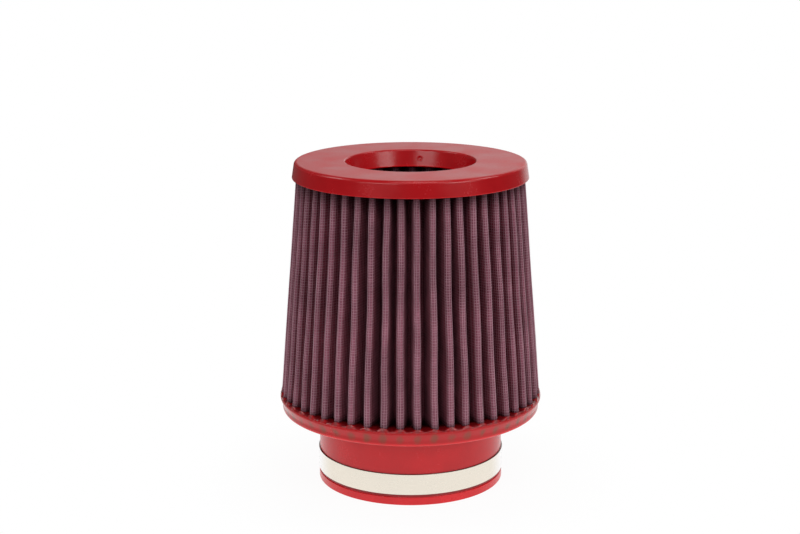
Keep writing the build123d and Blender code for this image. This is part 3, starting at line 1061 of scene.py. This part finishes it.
def hose_clamp():
    """Strip, screw housing and worm screw of the hose clamp."""
    soft_copy("clamp_band", "clamp_strip", 0.12 * MM, stainless, "filter")
    soft_copy("clamp_housing", "clamp_shell", 0.15 * MM, stainless, "filter")
    soft_copy("clamp_screw", "clamp_worm", 0.12 * MM, plated, "worm_screw")
    worm_thread()


base_moulding()
top_ring()
end_disc()
folded_sheet("outer_gauze", outer_pack, 24, (7, 3, 3), outer_gauze, "outer_pleats")
folded_sheet("inner_gauze", inner_pack, 12, (6, 4, 5), inner_gauze, "inner_pleats")
outer_screen()
inner_screen()
foot_fillet()
gate_mark()
hose_clamp()


# Stage, light and camera

room_level = 0.12
backdrop_turn = math.radians(16.5)
table_level = 1.35


def facing_backdrop(tree, direction):
    """How far a direction points at the backdrop, from 1 straight at it to 0 square to it."""
    x, y, _ = split_place(tree, direction)
    flat = add_node(tree, "ShaderNodeCombineXYZ", {0: x, 1: y}).outputs[0]
    level = add_node(tree, "ShaderNodeVectorMath", {0: flat}, operation="NORMALIZE").outputs[0]
    toward = (math.sin(backdrop_turn), math.cos(backdrop_turn), 0)
    inputs = {0: level, 1: toward}
    return add_node(tree, "ShaderNodeVectorMath", inputs, operation="DOT_PRODUCT").outputs["Value"]


def backdrop_level(tree, direction):
    """Light from a direction: white from the backdrop, dim from the room."""
    return remap(tree, facing_backdrop(tree, direction), 0.86, 0.97, room_level, 1.0, smooth=True)


def white_world():
    """White surroundings for the camera; as light, a white backdrop behind the object in a dim room."""
    world = bpy.data.worlds.new("studio")
    bpy.context.scene.world = world
    world.use_nodes = True
    tree = world.node_tree
    tree.nodes.clear()
    seen = add_node(tree, "ShaderNodeLightPath").outputs["Is Camera Ray"]
    direction = add_node(tree, "ShaderNodeTexCoord").outputs["Generated"]
    strength = calc(tree, "MAXIMUM", backdrop_level(tree, direction), seen)
    white = add_node(tree, "ShaderNodeBackground", {"Color": (1, 1, 1, 1), "Strength": strength})
    add_node(tree, "ShaderNodeOutputWorld", {"Surface": white.outputs[0]})


def white_floor():
    """White glowing table top that fades into the surroundings and keeps a faint shadow."""
    half = 3.0
    drop = 0.05 * MM
    mesh = bpy.data.meshes.new("floor")
    corners = [(-half, -half, 0), (half, -half, 0), (half, half, 0), (-half, half, 0)]
    mesh.from_pydata(corners, [], [(0, 1, 2, 3)])
    floor = bpy.data.objects.new("floor", mesh)
    floor.location.z = -drop
    bpy.context.scene.collection.objects.link(floor)
    material = bpy.data.materials.new("white_floor")
    material.use_nodes = True
    tree = material.node_tree
    tree.nodes.clear()
    rays = add_node(tree, "ShaderNodeLightPath").outputs
    place = own_place(tree)
    right_behind = (0.1, 0.05, 0)
    in_front = (0, -0.08, 0)
    # Mirrored in the object: bright close by and toward the backdrop
    near = remap(tree, distance_between(tree, place, right_behind), 0.2, 0.5, 1.0, room_level, smooth=True)
    seen_glow = calc(tree, "MAXIMUM", near, backdrop_level(tree, place))
    mirrored = calc(tree, "MULTIPLY", rays["Is Glossy Ray"], seen_glow)
    # Light on the object: strongest from close in front
    reach = distance_between(tree, place, in_front)
    table = remap(tree, reach, 0.12, 0.45, table_level, room_level, smooth=True)
    lighting = calc(tree, "MULTIPLY", table, calc(tree, "SUBTRACT", 1.0, rays["Is Glossy Ray"]))
    # Seen straight: plain white
    straight = calc(tree, "MAXIMUM", rays["Is Camera Ray"], rays["Is Transmission Ray"])
    indirect = calc(tree, "SUBTRACT", 1.0, straight)
    glow_level = calc(tree, "MULTIPLY", calc(tree, "ADD", lighting, mirrored), indirect)
    strength = calc(tree, "ADD", glow_level, straight)
    # A little matt white under the object takes its shadow
    cover = remap(tree, distance_between(tree, place, (0, 0, 0)), 0.05, 0.14, 0.95, 1.0, smooth=True)
    matt = add_node(tree, "ShaderNodeBsdfDiffuse", {"Color": (0.9, 0.9, 0.9, 1)})
    glow = add_node(tree, "ShaderNodeEmission", {"Color": (1, 1, 1, 1), "Strength": strength})
    mixed = add_node(tree, "ShaderNodeMixShader", {0: cover, 1: matt.outputs[0], 2: glow.outputs[0]})
    add_node(tree, "ShaderNodeOutputMaterial", {"Surface": mixed.outputs[0]})
    mesh.materials.append(material)


def soft_box(name, place, aim, width, height, power):
    """Rectangular area lamp that looks at a point."""
    data = bpy.data.lights.new(name, "AREA")
    data.shape = "RECTANGLE"
    data.size = width
    data.size_y = height
    data.energy = power
    lamp = bpy.data.objects.new(name, data)
    lamp.location = place
    direction = Vector(aim) - Vector(place)
    lamp.rotation_euler = direction.to_track_quat("-Z", "Y").to_euler()
    bpy.context.scene.collection.objects.link(lamp)


def studio_lamps():
    """Soft boxes high in front, on both sides behind the camera, and high on the left and right."""
    middle = (0, 0, 0.12)
    soft_box("high_front", (0.12, -0.64, 1.07), middle, 0.8, 0.28, 3.4)
    soft_box("front_left", (-0.6, -1.04, 0.58), middle, 0.79, 0.25, 2.6)
    soft_box("front_right", (0.9, -0.8, 0.58), middle, 0.64, 0.25, 3.4)
    soft_box("high_left", (-0.85, 0.0, 0.85), middle, 0.4, 0.4, 2.2)
    soft_box("high_right", (0.85, 0.0, 0.85), middle, 0.4, 0.4, 1.9)


def photo_camera():
    """Camera at the photograph's distance, height and tilt."""
    focal_px = 1645.0
    frame_px = 800.0
    axis_px = 10.5
    tilt_down = math.radians(13.46)
    data = bpy.data.cameras.new("camera")
    data.sensor_width = 36.0
    data.lens = data.sensor_width * focal_px / frame_px
    data.shift_x = -axis_px / frame_px
    data.clip_start = 0.01
    camera = bpy.data.objects.new("camera", data)
    camera.location = (0, -0.917, 0.3438)
    camera.rotation_euler = (math.pi / 2 - tilt_down, 0, 0)
    bpy.context.scene.collection.objects.link(camera)
    bpy.context.scene.camera = camera


white_world()
white_floor()
studio_lamps()
photo_camera()
bpy.context.scene.view_settings.view_transform = "Standard"
